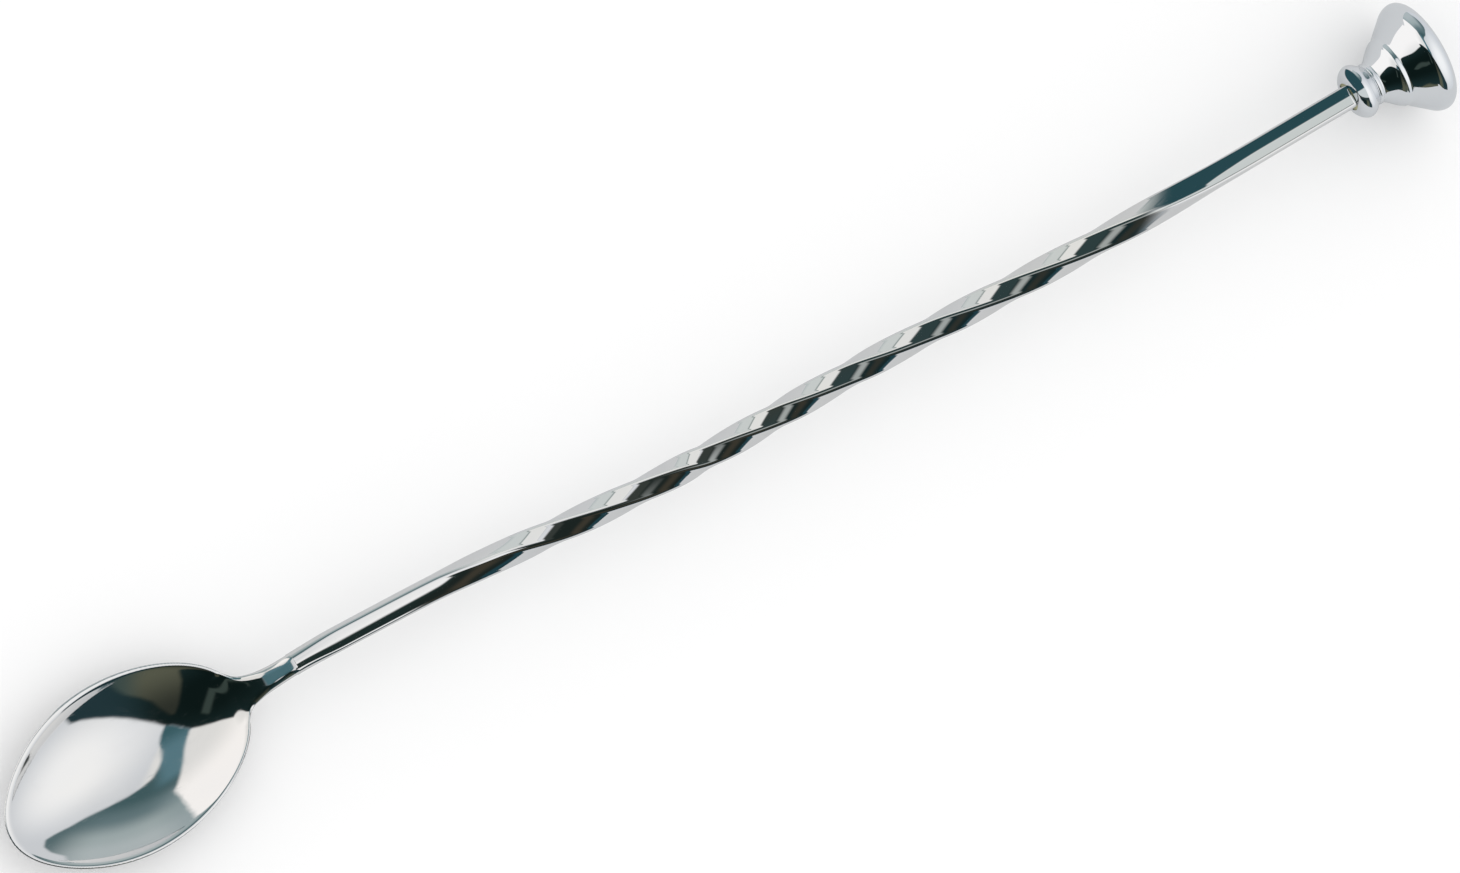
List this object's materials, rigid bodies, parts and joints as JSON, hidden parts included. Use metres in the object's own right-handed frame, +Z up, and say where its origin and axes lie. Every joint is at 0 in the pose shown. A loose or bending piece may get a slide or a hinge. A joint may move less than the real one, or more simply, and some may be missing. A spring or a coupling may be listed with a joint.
{
  "type": "bar spoon",
  "caption": "Long bar spoon with an oval bowl, a twisted square stem, a round collar and a flared flat muddler end for stirring, layering and crushing.",
  "frame": {"origin": "middle of the overall footprint, on the table the spoon lies on", "axes": "+X along the spoon from the bowl to the muddler face, +Y to the left when looking along +X, +Z up out of the bowl's hollow"},
  "size_m": [0.2809, 0.0294, 0.0198],
  "materials": {
    "polished_steel": "mirror polished stainless steel with fine wipe marks",
    "chrome_plate": "bright chrome plate",
    "braze_metal": "dull yellow braze filler"
  },
  "bodies": {
    "root": {"bowl": "polished_steel", "twisted_stem": "polished_steel", "collar_bead": "chrome_plate", "muddler_head": "chrome_plate", "braze_ring": "braze_metal"}
  },
  "joints": []
}
